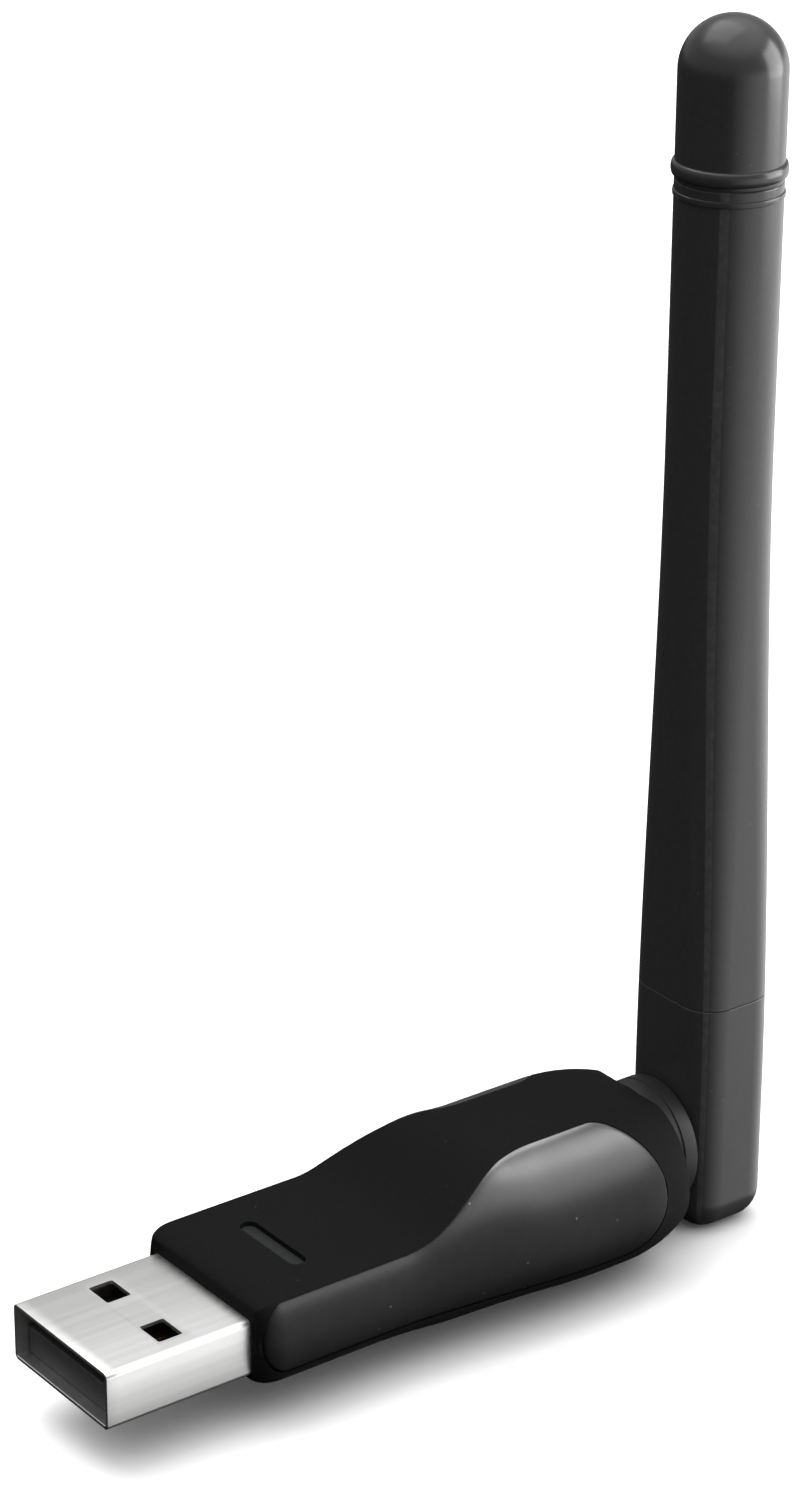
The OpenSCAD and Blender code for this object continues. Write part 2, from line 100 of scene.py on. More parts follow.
def smooth_range(tree, value, start, end, low, high):
    """The result of a smooth step from low at start to high at end."""
    values = {"Value": value, "From Min": start, "From Max": end, "To Min": low, "To Max": high}
    return put(tree, "ShaderNodeMapRange", values, interpolation_type="SMOOTHSTEP").outputs["Result"]


def new_group(name, sizes, results):
    """A shader node group that takes a place and named values, and gives named masks, heights or tones."""
    group = bpy.data.node_groups.new(name, "ShaderNodeTree")
    group.interface.new_socket(name="Place", in_out="INPUT", socket_type="NodeSocketVector")
    for label, value in sizes.items():
        socket = group.interface.new_socket(name=label, in_out="INPUT", socket_type="NodeSocketFloat")
        socket.default_value = value
    for label in results:
        group.interface.new_socket(name=label, in_out="OUTPUT", socket_type="NodeSocketFloat")
    return group, group.nodes.new("NodeGroupInput").outputs, group.nodes.new("NodeGroupOutput").inputs


def use_group(finish, group, place, **values):
    """A group's results in a material, at a place and with its own values."""
    return put(finish.node_tree, "ShaderNodeGroup", {"Place": place, **values}, node_tree=group).outputs


def blend_colour(finish, mask, first, second):
    """first where the mask is 0, second where it is 1; each is a colour or a socket."""
    values = {"Factor": mask}
    for label, value in (("A", first), ("B", second)):
        values[label] = value if isinstance(value, bpy.types.NodeSocket) else (*value, 1)
    return put(finish.node_tree, "ShaderNodeMix", values, data_type="RGBA").outputs["Result"]


def blend_value(finish, mask, first, second):
    """A number between first and second, by the mask."""
    values = {"Value": mask, "To Min": first, "To Max": second}
    return put(finish.node_tree, "ShaderNodeMapRange", values).outputs["Result"]


def object_place(finish):
    """Where a point is on its piece, in metres."""
    return put(finish.node_tree, "ShaderNodeTexCoord").outputs["Object"]


def feed(finish, sockets):
    """Links sockets to the named inputs of the material's Principled shader."""
    surface = finish.node_tree.nodes["Principled BSDF"]
    for label, source in sockets.items():
        finish.node_tree.links.new(source, surface.inputs[label])


# Cloudy change of tone: used for the table top and for handled plastics
cloud, asked, given = new_group("cloud", {"Size": 100.0, "Contrast": 0.5}, ["Mask"])
noise = put(cloud, "ShaderNodeTexNoise", {"Vector": asked["Place"], "Scale": asked["Size"], "Detail": 4})
lift = math_on(cloud, "MULTIPLY_ADD", asked["Contrast"], -0.5, 0.5)
cloud_mask = math_on(cloud, "MULTIPLY_ADD", noise.outputs["Fac"], asked["Contrast"], lift, use_clamp=True)
cloud.links.new(cloud_mask, given["Mask"])

table_reach = 4.0
table = new_piece(
    "table_top",
    [(x * table_reach, y * table_reach, 0.0) for x, y in ((-1, -1), (1, -1), (1, 1), (-1, 1))],
    [(0, 1, 2, 3)],
)
table_paper = new_finish("table_paper", (0.93, 0.93, 0.93), 0.75, specular=0.2)
table_tone = use_group(table_paper, cloud, object_place(table_paper), Size=30.0, Contrast=0.6)["Mask"]
table_tone = blend_colour(table_paper, table_tone, (0.92, 0.92, 0.92), (0.94, 0.94, 0.94))
feed(table_paper, {"Base Color": table_tone})
table.data.materials.append(table_paper)

view_turn = math.radians(-36.9)
view_rise = math.radians(23.37)
view_roll = math.radians(0.33)
view_back = Vector((
    math.sin(view_turn) * math.cos(view_rise),
    -math.cos(view_turn) * math.cos(view_rise),
    math.sin(view_rise),
))
view_right = Vector((math.cos(view_turn), math.sin(view_turn), 0))
view_up = view_back.cross(view_right)
right = view_right * math.cos(view_roll) + view_up * math.sin(view_roll)
camera_data = bpy.data.cameras.new("camera")
camera_data.lens = 101.1
camera_data.clip_start = 0.01
camera_data.clip_end = 20
camera = bpy.data.objects.new("camera", camera_data)
bpy.context.scene.collection.objects.link(camera)
plug_low, plug_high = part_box("usb_shell")
tip_x = plug_low.x
mid_z = (plug_low.z + plug_high.z) / 2
camera_place = Vector((tip_x - 0.1325, -0.2155, mid_z + 0.1557))
camera.matrix_world = Matrix.Translation(camera_place) @ Matrix(
    (right, view_back.cross(right), view_back)
).transposed().to_4x4()
bpy.context.scene.camera = camera


def soft_box(name, direction, distance, size, power, reach=None):
    """A flat light that hangs in a direction from the object and faces it; reach limits what it lights."""
    data = bpy.data.lights.new(name, "AREA")
    data.shape = "RECTANGLE"
    data.size, data.size_y = size
    data.energy = power
    lamp = bpy.data.objects.new(name, data)
    bpy.context.scene.collection.objects.link(lamp)
    away = Vector(direction).normalized()
    lamp.location = Vector((0, 0, 0.03)) + away * distance
    lamp.rotation_euler = away.to_track_quat("Z", "Y").to_euler()
    lamp.light_linking.receiver_collection = reach


# The side light spares the table and the trims, and two lights reach only the trims, which join both
# lists when they are made
spared = bpy.data.collections.new("spared")
trims_only = bpy.data.collections.new("trims_only")
spared.objects.link(table)
soft_box("side_box", (0.84, -0.52, 0.25), 0.6, (0.45, 0.5), 6.0, spared)
soft_box("rear_box", (0.58, 0.14, 0.8), 0.5, (0.5, 0.22), 48.0, trims_only)
soft_box("trim_box", (0.55, -0.5, 0.6), 0.5, (0.4, 0.3), 17.0, trims_only)
soft_box("overhead_box", (-0.05, 0.35, 1), 0.8, (0.7, 0.7), 3.1)
table.visible_diffuse = False
table.visible_glossy = False

# The room: pale above, a white screen low on the right, and dark low on the left
studio = bpy.data.worlds.new("studio")
studio.use_nodes = True
room = studio.node_tree
room_place = put(room, "ShaderNodeTexCoord").outputs["Generated"]


def room_share(axis, start, end, low, high):
    """A brightness that goes from low to high as a direction turns towards an axis."""
    turned = put(room, "ShaderNodeVectorMath", {0: room_place, 1: axis}, operation="DOT_PRODUCT")
    return smooth_range(room, turned.outputs["Value"], start, end, low, high)


up, down = (0, 0, 1), (0, 0, -1)
screen_edge = room_share(view_right, 0.0, 0.02, 0.08, 1.0)
screen = math_on(room, "MULTIPLY", screen_edge, room_share(view_right, 0.0, 0.9, 0.5, 2.4))
below = math_on(room, "MULTIPLY", screen, room_share(up, -0.05, 0.1, 1.0, 0.0))
below = math_on(room, "MULTIPLY", below, room_share(down, 0.42, 0.62, 1.0, 0.05))
above = room_share(up, -0.05, 0.1, 0.0, 1.0)
above = math_on(room, "MULTIPLY", room_share(up, 0.45, 0.9, 0.5, 2.4), above)
backdrop = room.nodes["Background"]
backdrop.inputs["Color"].default_value = (1, 1, 1, 1)
room.links.new(math_on(room, "ADD", below, above), backdrop.inputs["Strength"])
bpy.context.scene.world = studio
bpy.context.scene.view_settings.view_transform = "Standard"


# ---- Steel plug shell ----
# A strip of nickel-plated steel, 0.3 mm thick, folded round to a flat tube with a dovetailed seam underneath.
# Four latch windows are punched in it. Its shoulder butts on the housing, which grips the narrower rear part.

plug_half_w = (plug_high.y - plug_low.y) / 2 / mm
plug_half_t = (plug_high.z - plug_low.z) / 2 / mm
shell_end = (plug_high.x - tip_x) / mm
plug_out = 12.0
shell_wall = 0.3
shell_step = 0.1
shell_fold = 0.42


def at(x, y, z):
    """A point in the row frame, from millimetres behind the plug's tip, off and above the plug's middle."""
    return (tip_x + x * mm, y * mm, mid_z + z * mm)


def rounded_ring(half_w, half_h, corner, steps=7):
    """A rounded rectangle as (across, up) pairs."""
    ring = []
    for quarter, (side, rise) in enumerate(((1, 1), (-1, 1), (-1, -1), (1, -1))):
        for i in range(steps + 1):
            turn = math.radians(90 * (quarter + i / steps))
            ring.append((
                side * (half_w - corner) + corner * math.cos(turn),
                rise * (half_h - corner) + corner * math.sin(turn),
            ))
    return ring


def skin(rows, loop=False):
    """Points and faces of a skin over rows of equal length; loop joins the last row to the first."""
    count = len(rows[0])
    points = [point for row in rows for point in row]
    faces = []
    for j in range(len(rows) if loop else len(rows) - 1):
        k = (j + 1) % len(rows)
        for i in range(count):
            n = (i + 1) % count
            faces.append((j * count + i, j * count + n, k * count + n, k * count + i))
    if not loop:
        faces.append(tuple(range(count)))
        faces.append(tuple(range((len(rows) - 1) * count, len(rows) * count)))
    return points, faces


def settle(piece):
    """The piece's modifiers become its plain mesh."""
    seen = piece.evaluated_get(bpy.context.evaluated_depsgraph_get())
    mesh = bpy.data.meshes.new_from_object(seen)
    piece.modifiers.clear()
    piece.data = mesh
    return piece


def shape_with(piece, operation, *tools):
    """Cuts the tools out of the piece, or adds or keeps what they share, and removes the tools."""
    for tool in tools:
        step = piece.modifiers.new(tool.name, "BOOLEAN")
        step.operation = operation
        step.solver = "EXACT"
        step.object = tool
    settle(piece)
    for tool in tools:
        bpy.data.objects.remove(tool)
    return piece


def finish_piece(piece, finish, body, slot, *nodes, crease=28):
    """Smooth faces with crisp edges, a material, a body to ride on, and the CAD nodes it stands for."""
    piece.data.shade_smooth()
    piece.data.set_sharp_from_angle(angle=math.radians(crease))
    if finish is not None:
        piece.data.materials.clear()
        piece.data.materials.append(finish)
    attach(piece, body)
    if nodes:
        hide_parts(*nodes)
    return piece


def prism(name, outline, low, high):
    """A prism over an outline of (x, y) pairs between two heights, in plug millimetres."""
    rows = [[at(x, y, z) for x, y in outline] for z in (low, high)]
    return new_piece(name, *skin(rows))


def rounded_block(name, low, high, corner, steps=4):
    """A block with rounded upright edges, given by its lowest and highest corners in plug millimetres."""
    half_l, half_w = (high[0] - low[0]) / 2, (high[1] - low[1]) / 2
    mid_x, mid_y = (high[0] + low[0]) / 2, (high[1] + low[1]) / 2
    ring = [(mid_x + a, mid_y + b) for a, b in rounded_ring(half_l, half_w, corner, steps)]
    return prism(name, ring, low[2], high[2])


def shell_ring(x, inset, corner):
    return [at(x, y, z) for y, z in rounded_ring(plug_half_w - inset, plug_half_t - inset, corner)]


lip = 0.05
shell_rows = [
    shell_ring(0, lip, shell_fold - lip),
    shell_ring(lip * 0.3, lip * 0.3, shell_fold - lip * 0.3),
    shell_ring(lip, 0, shell_fold),
]
shell_rows += [shell_ring(plug_out * k / 12, 0, shell_fold) for k in range(1, 13)]
shell_rows += [
    shell_ring(plug_out, shell_step, shell_fold - shell_step),
    shell_ring(shell_end, shell_step, shell_fold - shell_step),
    shell_ring(shell_end, shell_wall, shell_fold - shell_wall),
    shell_ring(lip, shell_wall, shell_fold - shell_wall),
    shell_ring(0, shell_wall - lip, shell_fold - shell_wall + lip),
]
plug_shell = new_piece("plug_shell", *skin(shell_rows, loop=True))
window_x, window_y, window_half_l, window_half_w = 6.3, 3.25, 1.0, 1.25
window_tools = [
    rounded_block(
        f"window_{n}",
        (window_x - window_half_l, side * window_y - window_half_w, level * plug_half_t - 0.5),
        (window_x + window_half_l, side * window_y + window_half_w, level * plug_half_t + 0.5),
        0.18,
    )
    for n, (side, level) in enumerate(((-1, 1), (1, 1), (-1, -1), (1, -1)))
]
seam_half = 0.025
seam_start, seam_stop, seam_lock = -0.1, 11.9, 1
seam_line = [Vector(p) for p in (
    (seam_start, 0), (3.4, 0), (3.1, seam_lock), (5.0, seam_lock), (4.7, 0),
    (8.2, 0), (7.9, seam_lock), (9.8, seam_lock), (9.5, 0), (seam_stop, 0),
)]
seam_steps = [(b - a).normalized() for a, b in zip(seam_line, seam_line[1:])]
seam_sides = []
for before, after in zip(seam_steps[:1] + seam_steps, seam_steps + seam_steps[-1:]):
    mitre = (before.orthogonal() + after.orthogonal()).normalized()
    seam_sides.append(mitre * seam_half / mitre.dot(before.orthogonal()))
seam_outline = [p + n for p, n in zip(seam_line, seam_sides)]
seam_outline += [p - n for p, n in reversed(list(zip(seam_line, seam_sides)))]
seam_tool = prism("seam", [tuple(p) for p in seam_outline], -plug_half_t - 0.1, -plug_half_t + 0.12)
shape_with(plug_shell, "DIFFERENCE", *window_tools, seam_tool)

# Brushed lines along the plug: stretched noise, as height and as tone
brushed, asked, given = new_group("brushed_lines", {"Along": 60.0, "Across": 9000.0}, ["Height", "Tone"])
stretch = put(brushed, "ShaderNodeCombineXYZ", {0: asked["Along"], 1: asked["Across"], 2: asked["Across"]})
stretched = {0: asked["Place"], 1: stretch.outputs[0]}
stretched = put(brushed, "ShaderNodeVectorMath", stretched, operation="MULTIPLY").outputs[0]
for label, scale, detail in (("Height", 1, 3), ("Tone", 0.21, 2)):
    noise = put(brushed, "ShaderNodeTexNoise", {"Vector": stretched, "Scale": scale, "Detail": detail})
    brushed.links.new(noise.outputs["Fac"], given[label])

# Rubbed edges: the mesh's own pointiness, broken up by noise
rubbed, asked, given = new_group("rubbed_edge", {"Pointiness": 0.5, "Start": 0.53, "End": 0.6}, ["Mask"])
ridge = smooth_range(rubbed, asked["Pointiness"], asked["Start"], asked["End"], 0.0, 1.0)
noise = put(rubbed, "ShaderNodeTexNoise", {"Vector": asked["Place"], "Scale": 1600, "Detail": 5})
rubbed.links.new(math_on(rubbed, "MULTIPLY", ridge, noise.outputs["Fac"], use_clamp=True), given["Mask"])


def bumped(finish, height, strength, distance):
    """A shading normal moved by the height; strength 0 to 1, distance in metres."""
    values = {"Height": height, "Strength": strength, "Distance": distance}
    return put(finish.node_tree, "ShaderNodeBump", values).outputs["Normal"]


def metal_finish(name, dark, light, roughness, along, across):
    """Plated or drawn metal: brushed lines in its colour, gloss and height, and dull spots."""
    finish = new_finish(name, light, roughness[0], metallic=1.0)
    place = object_place(finish)
    lines = use_group(finish, brushed, place, Along=along, Across=across)
    spots = use_group(finish, cloud, place, Size=900.0, Contrast=1.6)
    tone = blend_colour(finish, lines["Tone"], dark, light)
    dull = tuple(c * 0.86 for c in light)
    feed(finish, {
        "Base Color": blend_colour(finish, blend_value(finish, spots["Mask"], 0.0, 0.35), tone, dull),
        "Roughness": blend_value(finish, lines["Height"], *roughness),
        "Normal": bumped(finish, lines["Height"], 0.25, 0.00001),
    })
    return finish


plug_steel = metal_finish("plug_steel", (0.46, 0.46, 0.455), (0.62, 0.62, 0.615), (0.26, 0.42), 60.0, 9000.0)
finish_piece(plug_shell, plug_steel, "housing", "plug_steel", "usb_shell")


# ---- Plug tongue and contacts ----
# A black glass-filled nylon insert fills the lower half of the shell and closes the shell's rear.
# Four gold-plated strips lie in grooves on its upper face: the two power contacts reach nearer the mouth.

tongue_low, tongue_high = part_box("usb_tongue")
tongue_front = (tongue_low.x - tip_x) / mm
tongue_end = (tongue_high.x - tip_x) / mm
tongue_half = (tongue_high.y - tongue_low.y) / 2 / mm
tongue_floor = (tongue_low.z - mid_z) / mm
tongue_roof = (tongue_high.z - mid_z) / mm
tongue_top = 0.2
tongue_round = 0.12


def side_profile(pairs, half_w, soft, name):
    """A bar across the plug with the side view given by (x, z) pairs and its ends slightly drawn in."""
    mid = Vector((sum(p[0] for p in pairs) / len(pairs), sum(p[1] for p in pairs) / len(pairs)))
    rows = []
    for y, shrink in ((-half_w, soft), (soft - half_w, 0), (half_w - soft, 0), (half_w, soft)):
        row = []
        for x, z in pairs:
            inward = (mid - Vector((x, z))).normalized() * shrink
            row.append(at(x + inward.x, y, z + inward.y))
        rows.append(row)
    return new_piece(name, *skin(rows))


tongue_nose = []
for angle in (90, 60, 30, 0):
    back = tongue_round * (1 - math.sin(math.radians(angle)))
    drop = tongue_round * (1 - math.cos(math.radians(angle)))
    tongue_nose.append((tongue_front + back, tongue_top - drop))
tongue_pairs = [(tongue_front, tongue_floor)] + tongue_nose + [
    (plug_out - 0.5, tongue_top),
    (plug_out - 0.5, tongue_roof),
    (tongue_end, tongue_roof),
    (tongue_end, tongue_floor),
]
plug_tongue = side_profile(tongue_pairs, tongue_half, 0.03, "plug_tongue")
contact_low, contact_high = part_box("usb_contacts")
contact_front = (contact_low.x - tip_x) / mm
contact_end = (contact_high.x - tip_x) / mm
contact_half = 0.5
contact_t = (contact_high.z - contact_low.z) / mm
contact_rows = ((-3.5, 0.0), (-1.0, 1.0), (1.0, 1.0), (3.5, 0.0))
groove_tools = [
    rounded_block(
        f"groove_{n}",
        (plug_out - 1, y - contact_half - 0.05, tongue_top),
        (tongue_end + 1, y + contact_half + 0.05, tongue_top + contact_t + 0.05),
        0.04,
    )
    for n, (y, back) in enumerate(contact_rows)
]
shape_with(plug_tongue, "DIFFERENCE", *groove_tools)

# Fine texture of a spark-eroded mould: height, and a slight change of tone
mould_grain, asked, given = new_group("mould_grain", {"Size": 6000.0}, ["Height", "Tone"])
at_cell = {"Vector": asked["Place"], "Scale": asked["Size"]}
cells = put(mould_grain, "ShaderNodeTexVoronoi", at_cell, feature="SMOOTH_F1")
coarse = math_on(mould_grain, "MULTIPLY", asked["Size"], 0.6)
noise = put(mould_grain, "ShaderNodeTexNoise", {"Vector": asked["Place"], "Scale": coarse, "Detail": 3})
grain_height = math_on(mould_grain, "MULTIPLY_ADD", cells.outputs["Distance"], 0.5, noise.outputs["Fac"])
mould_grain.links.new(grain_height, given["Height"])
mould_grain.links.new(noise.outputs["Fac"], given["Tone"])

# Sparse dust specks: a dot in the few cells whose random colour falls under the share
specks, asked, given = new_group("dust_specks", {"Size": 1100.0, "Share": 0.1}, ["Mask"])
at_cell = {"Vector": asked["Place"], "Scale": asked["Size"]}
cells = put(specks, "ShaderNodeTexVoronoi", at_cell, feature="F1")
reach = math_on(specks, "MULTIPLY", asked["Share"], 1.2)
dot = smooth_range(specks, cells.outputs["Distance"], 0.0, reach, 1.0, 0.0)
pick = put(specks, "ShaderNodeSeparateColor", {"Color": cells.outputs["Color"]})
few = math_on(specks, "LESS_THAN", pick.outputs["Red"], asked["Share"])
specks.links.new(math_on(specks, "MULTIPLY", dot, few), given["Mask"])


def plastic_finish(name, dark, light, roughness, specular, grain, bump, dust=0.1):
    """Moulded plastic: grain, cloudy handling marks, rubbed edges and a few dust specks."""
    finish = new_finish(name, dark, roughness[0], specular=specular)
    place = object_place(finish)
    bent = put(finish.node_tree, "ShaderNodeNewGeometry").outputs["Pointiness"]
    texture = use_group(finish, mould_grain, place, Size=grain)
    marks = use_group(finish, cloud, place, Size=200.0, Contrast=0.9)
    edge = use_group(finish, rubbed, place, Pointiness=bent, Start=0.54, End=0.62)
    dots = use_group(finish, specks, place, Share=dust)
    tone = blend_colour(finish, texture["Tone"], dark, light)
    tone = blend_colour(finish, edge["Mask"], tone, tuple(c * 2.2 for c in light))
    dusty = tuple(0.6 * c + 0.06 for c in light)
    feed(finish, {
        "Base Color": blend_colour(finish, blend_value(finish, dots["Mask"], 0.0, 0.5), tone, dusty),
        "Roughness": blend_value(finish, marks["Mask"], *roughness),
        "Normal": bumped(finish, texture["Height"], bump, 0.00002),
    })
    return finish


tongue_nylon = plastic_finish(
    "tongue_nylon", (0.012, 0.012, 0.0125), (0.022, 0.022, 0.0225),
    roughness=(0.45, 0.6), specular=0.3, grain=5000.0, bump=0.2,
)
finish_piece(plug_tongue, tongue_nylon, "housing", "plug_plastic", "usb_tongue")


def new_geometry_tree(name, inputs):
    """A geometry tree with one geometry in and out and named inputs, (name, kind, value)."""
    tree = bpy.data.node_groups.new(name, "GeometryNodeTree")
    for way in ("INPUT", "OUTPUT"):
        tree.interface.new_socket(name="Geometry", in_out=way, socket_type="NodeSocketGeometry")
    for label, kind, value in inputs:
        socket = tree.interface.new_socket(name=label, in_out="INPUT", socket_type=f"NodeSocket{kind}")
        if value is not None:
            socket.default_value = value
    return tree, tree.nodes.new("NodeGroupInput").outputs, tree.nodes.new("NodeGroupOutput").inputs


def grow(piece, tree, **values):
    """Runs a geometry tree on the piece with its own values, set by identifier, and keeps the plain mesh."""
    step = piece.modifiers.new(tree.name, "NODES")
    step.node_group = tree
    names = {item.name: item.identifier for item in tree.interface.items_tree if item.in_out == "INPUT"}
    for label, value in values.items():
        step[names[label.replace("_", " ")]] = value
    return settle(piece)


# One contact is a flat strip with a coined, rounded front end; the tree lays a pair of them side by side
contact_tree, asked, given = new_geometry_tree("contact_pair", [
    ("Spread", "Float", 0.007),
    ("Setback", "Float", 0.0),
    ("Strip", "Object", None),
    ("Finish", "Material", None),
])
side = math_on(contact_tree, "MULTIPLY", asked["Spread"], -0.5)
start = put(contact_tree, "ShaderNodeCombineXYZ", {0: asked["Setback"], 1: side}).outputs[0]
stride = put(contact_tree, "ShaderNodeCombineXYZ", {1: asked["Spread"]}).outputs[0]
line = put(contact_tree, "GeometryNodeMeshLine", {"Count": 2, "Start Location": start, "Offset": stride})
info = put(contact_tree, "GeometryNodeObjectInfo", {"Object": asked["Strip"]})
laid = {"Points": line.outputs["Mesh"], "Instance": info.outputs["Geometry"]}
laid = put(contact_tree, "GeometryNodeInstanceOnPoints", laid).outputs["Instances"]
whole = put(contact_tree, "GeometryNodeRealizeInstances", {"Geometry": laid}).outputs["Geometry"]
coated = {"Geometry": whole, "Material": asked["Finish"]}
coated = put(contact_tree, "GeometryNodeSetMaterial", coated).outputs["Geometry"]
contact_tree.links.new(coated, given["Geometry"])

contact_gold = metal_finish("contact_gold", (0.72, 0.5, 0.17), (0.92, 0.7, 0.32), (0.2, 0.34), 60.0, 7000.0)


def contact_strip(length):
    """A strip with a rounded, slightly sunk front end, at the middle of the plug."""
    soft = 0.03
    stations = ((0.0, 0.1, 0.22), (0.08, 0.05, 0.1), (0.25, 0.0, 0.02), (0.4, 0.0, 0.0), (length, 0.0, 0.0))
    rows = []
    for x, sink, squeeze in stations:
        half, top = contact_half - squeeze, contact_t - sink
        row = [(-half, 0), (half, 0), (half, top - soft), (half - soft, top)]
        row += [(soft - half, top), (-half, top - soft)]
        rows.append([at(contact_front + x, y, tongue_top + z) for y, z in row])
    return new_piece("contact_strip", *skin(rows))


for pair_name, spread, setback in (("power_contacts", 7.0, 0.0), ("data_contacts", 2.0, 1.0)):
    strip = contact_strip(contact_end - contact_front - setback)
    pair = new_piece(pair_name, [(0, 0, 0)], [])
    grow(pair, contact_tree, Spread=spread * mm, Setback=setback * mm, Strip=strip, Finish=contact_gold)
    bpy.data.objects.remove(strip)
    finish_piece(pair, None, "housing", "gold_contact", "usb_contacts")


# ---- Housing: the form that covers and trims share ----
# The housing is waisted: a flat neck behind the plug, a ramp, and a bulb that draws in at the rear end.
# Its top panel is flat across, and below the panel's edge the sides are half-round down to a flat floor.

cover_low, cover_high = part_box("lower_cover")
front_x = (cover_low.x - tip_x) / mm
rear_x = (cover_high.x - tip_x) / mm
part_z = 0.1
neck_half, bulb_half = 7.75, 9.0
neck_top, bulb_top = 3.7, (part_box("upper_cover")[1].z - mid_z) / mm
neck_bottom, bulb_bottom = 3.05, 5.05
panel_neck, panel_bulb = 6.9, 3.8
ramp_x, ramp_end = front_x + 13, front_x + 23.5
nose_l, tail_l = 2.0, 6.0
arc_start = math.radians(70)
floor_inset, floor_curve = 0.8, 1.1
nose_in, nose_down = 1.2, 0.6
tail_in, tail_down, tail_up = 1.6, 1.2, 1.0
rim_round = 0.28


def rise(x, a, b):
    """0 before a, 1 after b, and smooth between."""
    t = min(1, max(0, (x - a) / (b - a)))
    return t * t * (3 - 2 * t)


def quarter_round(t):
    """How far a rounded end has turned in, 0 to 1."""
    t = min(1, max(0, t))
    return 1 - math.sqrt(1 - t * t)


def nose(x):
    return quarter_round((front_x + nose_l - x) / nose_l)


def tail(x):
    t = min(1, max(0, (x - rear_x + tail_l) / tail_l))
    return t * t


def rim(x):
    return rim_round * quarter_round((x - rear_x + rim_round) / rim_round)


def half_w(x):
    swell = (bulb_half - neck_half) * rise(x, ramp_x - 1, ramp_end + 4.5)
    return neck_half + swell - nose_in * nose(x) - tail_in * tail(x) - rim(x)


def top_z(x):
    swell = (bulb_top - neck_top) * rise(x, ramp_x, ramp_end)
    return neck_top + swell - nose_down * nose(x) - tail_down * tail(x) - rim(x)


def floor_z(x):
    fall = (bulb_bottom - neck_bottom) * rise(x, ramp_x - 3, ramp_end + 8)
    return -neck_bottom - fall + nose_down * nose(x) + tail_up * tail(x) + rim(x)


def panel_half(x):
    waist = (panel_neck - panel_bulb) * rise(x, ramp_x + 2, ramp_end + 3)
    return panel_neck - waist - 0.6 * nose(x) - 0.3 * tail(x)


def side_y(x, z, inset=0.0):
    """Half width of the housing at a height."""
    w, p = half_w(x), panel_half(x)
    if z >= part_z:
        a = (w - p) / (1 - math.cos(arc_start))
        s = min(1, (z - part_z) * math.sin(arc_start) / (top_z(x) - part_z))
        return w - a + a * math.sqrt(1 - s * s) - inset
    q = p - floor_inset
    s = min(1, (part_z - z) / (part_z - floor_z(x))) ** floor_curve
    return q + (w - q) * math.sqrt(max(0, 1 - s * s)) ** (1 / floor_curve) - inset


def half_section(x, wall=0.0, roof=0.0, base=0.0, arc_steps=14):
    """(y, z) pairs down one side of a section, from the middle of the panel to the middle of the floor."""
    w = half_w(x) - wall
    p = min(panel_half(x) - (wall / 1.4 if wall else 0), w - 0.2)
    h = top_z(x) - roof - part_z
    a, b = (w - p) / (1 - math.cos(arc_start)), h / math.sin(arc_start)
    top = part_z + h
    edge = 0.2
    pairs = [((p - edge) * k, top) for k in (0, 0.3, 0.6, 0.85, 1)]
    first = arc_start * (1 - 0.9 / arc_steps)
    joint = (w - a + a * math.cos(first), part_z + b * math.sin(first))
    for k in (0.25, 0.5, 0.75):
        y = (1 - k) ** 2 * (p - edge) + 2 * k * (1 - k) * p + k * k * joint[0]
        z = (1 - k) ** 2 * top + 2 * k * (1 - k) * top + k * k * joint[1]
        pairs.append((y, z))
    for i in range(arc_steps + 1):
        t = first * (1 - i / arc_steps)
        pairs.append((w - a + a * math.cos(t), part_z + b * math.sin(t)))
    q = p - floor_inset
    low = part_z - floor_z(x) - base
    for i in range(1, arc_steps + 1):
        t = math.radians(90 * i / arc_steps)
        out, down_by = max(0, math.cos(t)) ** (1 / floor_curve), math.sin(t) ** (1 / floor_curve)
        pairs.append((q + (w - q) * out, part_z - low * down_by))
    pairs += [(q * k, part_z - low) for k in (0.66, 0.33, 0)]
    return pairs


def housing_stations(first, last):
    """Stations along the housing, close together at the rounded nose, the ramp and the rear rim."""
    spots = [first + nose_l * (k / 10) ** 2 for k in range(11)]
    spots += [first + nose_l + k for k in range(1, int(ramp_x - first - nose_l))]
    spots += [ramp_x + 0.4 * k for k in range(int((ramp_end + 3 - ramp_x) / 0.4) + 1)]
    steps = 16
    start, stop = spots[-1], last - rim_round
    spots += [start + (stop - start) * k / steps for k in range(1, steps + 1)]
    spots += [stop + rim_round * math.sin(math.radians(90 * k / 5)) for k in range(1, 6)]
    return spots


def housing_form(name, wall=0.0, roof=0.0, base=0.0, front=0.0, rear=0.0):
    rows = []
    for x in housing_stations(front_x + front, rear_x - rear):
        half = half_section(x, wall, roof, base)
        ring = [at(x, y, z) for y, z in half]
        ring += [at(x, -y, z) for y, z in reversed(half[1:-1])]
        rows.append(ring)
    return new_piece(name, *skin(rows))


# ---- Side trims ----
# Two satin-gloss strips, moulded apart and snapped into seats along both sides of the housing.
# Each runs from a round nose beside the plug to a swept rear end, with its top edge just under the panel.

trim_t = 0.7
trim_x0, trim_x1 = front_x + 0.25, rear_x - 3.2
trim_drop, trim_low_front, trim_low_rear = 0.12, 1.9, 2.6
trim_nose_turn, trim_rear_turn = 2.0, 4.4
trim_crown = 0.55


def trim_edges(x, spread=0.0):
    """Heights of the trim's lower and upper edges; spread widens the outline for its seat."""
    top = top_z(x) - trim_drop
    low = -trim_low_front - (trim_low_rear - trim_low_front) * rise(x, ramp_x, rear_x)
    front = quarter_round((trim_x0 - spread + trim_nose_turn - x) / trim_nose_turn)
    back = quarter_round((x - trim_x1 - spread + trim_rear_turn) / trim_rear_turn)
    pinch = min(0.97, max(front, back)) * ((top - low) / 2 + spread)
    return low - spread + pinch, top + spread - pinch


